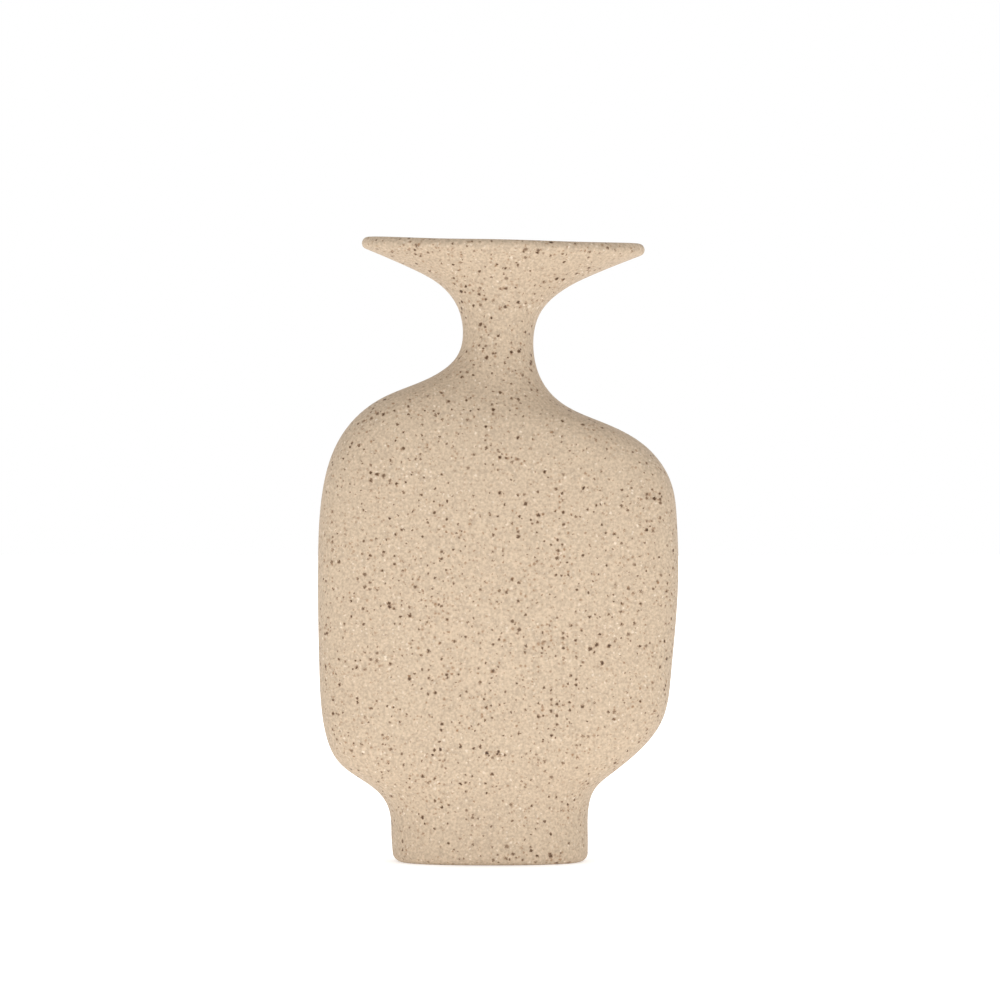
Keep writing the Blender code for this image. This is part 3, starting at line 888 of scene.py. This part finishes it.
WHITE = (*linear("#FFFFFF"), 1.0)
FLOOR_COLOUR = (*linear("#E7E7E7"), 1.0)
FLOOR_REACH = 12.0             # middle of the floor to its edge
KEY_LIFT = 2.0 * MM            # table to the strip light
EYE_LEVEL, OVERHEAD = 0.1, 0.9   # heights of the look direction between which the room dims
FACING_BACK = (math.radians(90), 0.0, 0.0)   # turns a lamp or a camera level, towards the vase


class VaseStudio(bpy.types.PropertyGroup):
    """Camera, light, room and floor."""

    camera_distance: length("Camera Distance", "From the vase's middle plane", 2.2)
    camera_height: length("Camera Height", "Above the table", 170.9 * MM)
    camera_side: length("Camera Side", "To the right of the vase's middle", 0.95 * MM)
    view_width: length("View Width", "Width that the picture covers at the vase", 473.5 * MM)
    key_power: FloatProperty(
        name="Key Power", description="Power of the low strip light", default=0.5, min=0.0,
        unit="POWER")
    key_width: length("Key Width", "Length of the strip light", 0.6)
    key_height: length("Key Height", "Height of the strip light", 40.0 * MM)
    key_distance: length("Key Distance", "Strip light to the vase's middle plane", 0.38)
    room: FloatProperty(
        name="Room", description="Brightness of the white room at eye level", default=1.0, min=0.0)
    room_top: FloatProperty(
        name="Room Top", description="Brightness of the white room overhead", default=0.85, min=0.0)
    floor_glow: FloatProperty(
        name="Floor Glow", description="Light that comes up through the white floor", default=0.8, min=0.0)
    # Painted contact shadow: the floor's glow is dimmed round the foot, from this strength under the vase's
    # middle up to the full floor glow at the shade radius.
    painted_shadow_glow: FloatProperty(
        name="Painted Shadow Glow", description="Light left in the floor under the middle of the vase", default=0.08,
        min=0.0)
    painted_shadow_radius: length("Painted Shadow Radius", "Radius round the foot where the glow is full", 90.0 * MM)
    clean_white: BoolProperty(
        name="Clean White", description="Keep colours as they are measured", default=True)


class VASE_OT_studio(bpy.types.Operator):
    """White floor, strip light, bright room and camera"""

    bl_idname = "vase.studio"
    bl_label = "Studio"

    def execute(self, context):
        studio = context.scene.vase_studio
        self.make_floor(context.scene, studio)
        self.make_room(context.scene, studio)
        self.make_key(context.scene, studio)
        self.make_camera(context.scene, studio)
        if studio.clean_white:
            context.scene.view_settings.view_transform = "Standard"
        return {"FINISHED"}

    @staticmethod
    def make_floor(scene, studio):
        """A glowing white acrylic table top with a painted contact shadow: its glow is dimmed round the foot,
        so that the vase stands on a soft painted shade.
        """
        mesh = bpy.data.meshes.new("floor")
        corners = [(x * FLOOR_REACH, y * FLOOR_REACH, 0.0) for x, y in ((-1, -1), (1, -1), (1, 1), (-1, 1))]
        mesh.from_pydata(corners, [], [(0, 1, 2, 3)])
        floor = bpy.data.objects.new("floor", mesh)
        scene.collection.objects.link(floor)
        material, tree, shader = new_material("white_acrylic", ACRYLIC_ROUGHNESS, ACRYLIC_IOR)
        shader.inputs["Base Color"].default_value = FLOOR_COLOUR
        shader.inputs["Emission Color"].default_value = WHITE
        place = add_node(tree, "ShaderNodeTexCoord").outputs["Object"]
        # Painted contact shadow: the glow grows with distance from the foot's middle. It is not light that
        # the vase blocks.
        middle = (scene.vase_shape.foot_shift, 0.0, 0.0)
        away = add_node(tree, VECTOR_MATH, [place, middle], operation="DISTANCE")
        glow_with_painted_shadow = add_node(
            tree, MAP_RANGE, [away, 0.0, studio.painted_shadow_radius, studio.painted_shadow_glow, studio.floor_glow])
        tree.links.new(glow_with_painted_shadow.outputs["Result"], shader.inputs["Emission Strength"])
        mesh.materials.append(material)

    @staticmethod
    def make_room(scene, studio):
        """White room that is brightest at eye level and dimmer overhead."""
        world = bpy.data.worlds.new("room")
        world.use_nodes = True
        tree = world.node_tree
        direction = add_node(tree, "ShaderNodeTexCoord").outputs["Generated"]
        height = add_node(tree, "ShaderNodeSeparateXYZ", [direction]).outputs["Z"]
        fade = add_node(tree, MAP_RANGE, [height, EYE_LEVEL, OVERHEAD, studio.room, studio.room_top])
        tree.links.new(fade.outputs["Result"], tree.nodes["Background"].inputs["Strength"])
        tree.nodes["Background"].inputs["Color"].default_value = WHITE
        scene.world = world

    @staticmethod
    def make_key(scene, studio):
        """Strip light that stands on the table in front of the vase."""
        lamp = bpy.data.lights.new("key", "AREA")
        lamp.shape = "RECTANGLE"
        lamp.size = studio.key_width
        lamp.size_y = studio.key_height
        lamp.energy = studio.key_power
        key = bpy.data.objects.new("key", lamp)
        key.location = (0.0, -studio.key_distance, studio.key_height / 2 + KEY_LIFT)
        key.rotation_euler = FACING_BACK
        key.visible_camera = False
        scene.collection.objects.link(key)

    @staticmethod
    def make_camera(scene, studio):
        """Level camera in front of the vase."""
        lens = bpy.data.cameras.new("camera")
        lens.lens = lens.sensor_width * studio.camera_distance / studio.view_width
        camera = bpy.data.objects.new("camera", lens)
        camera.location = (studio.camera_side, -studio.camera_distance, studio.camera_height)
        camera.rotation_euler = FACING_BACK
        scene.collection.objects.link(camera)
        scene.camera = camera


class VASE_PT_panel(bpy.types.Panel):
    """Sizes, finishes and steps of the vase"""

    bl_idname = "VASE_PT_panel"
    bl_label = "Lopsided Flask Vase"
    bl_space_type = "VIEW_3D"
    bl_region_type = "UI"
    bl_category = "Vase"

    def draw(self, context):
        scene = context.scene
        for title, group in (
                ("Shape", scene.vase_shape), ("Finish", scene.vase_finish), ("Studio", scene.vase_studio)):
            box = self.layout.box()
            box.label(text=title)
            for name in group.__annotations__:
                box.prop(group, name)
        for operator in OPERATORS:
            self.layout.operator(operator.bl_idname)


GROUPS = {"vase_shape": VaseShape, "vase_finish": VaseFinish, "vase_studio": VaseStudio}
OPERATORS = (
    VASE_OT_foot_wall, VASE_OT_base_slab, VASE_OT_body_shells, VASE_OT_neck_collar,
    VASE_OT_flared_rim, VASE_OT_studio)


def register():
    for group in GROUPS.values():
        bpy.utils.register_class(group)
    for operator in OPERATORS:
        bpy.utils.register_class(operator)
    bpy.utils.register_class(VASE_PT_panel)
    for name, group in GROUPS.items():
        setattr(bpy.types.Scene, name, PointerProperty(type=group))


def unregister():
    for name in GROUPS:
        delattr(bpy.types.Scene, name)
    bpy.utils.unregister_class(VASE_PT_panel)
    for operator in reversed(OPERATORS):
        bpy.utils.unregister_class(operator)
    for group in reversed(GROUPS.values()):
        bpy.utils.unregister_class(group)


def main():
    register()
    bpy.ops.vase.foot_wall()
    bpy.ops.vase.base_slab()
    bpy.ops.vase.body_shells()
    bpy.ops.vase.neck_collar()
    bpy.ops.vase.flared_rim()
    bpy.ops.vase.studio()


if __name__ == "__main__":
    main()
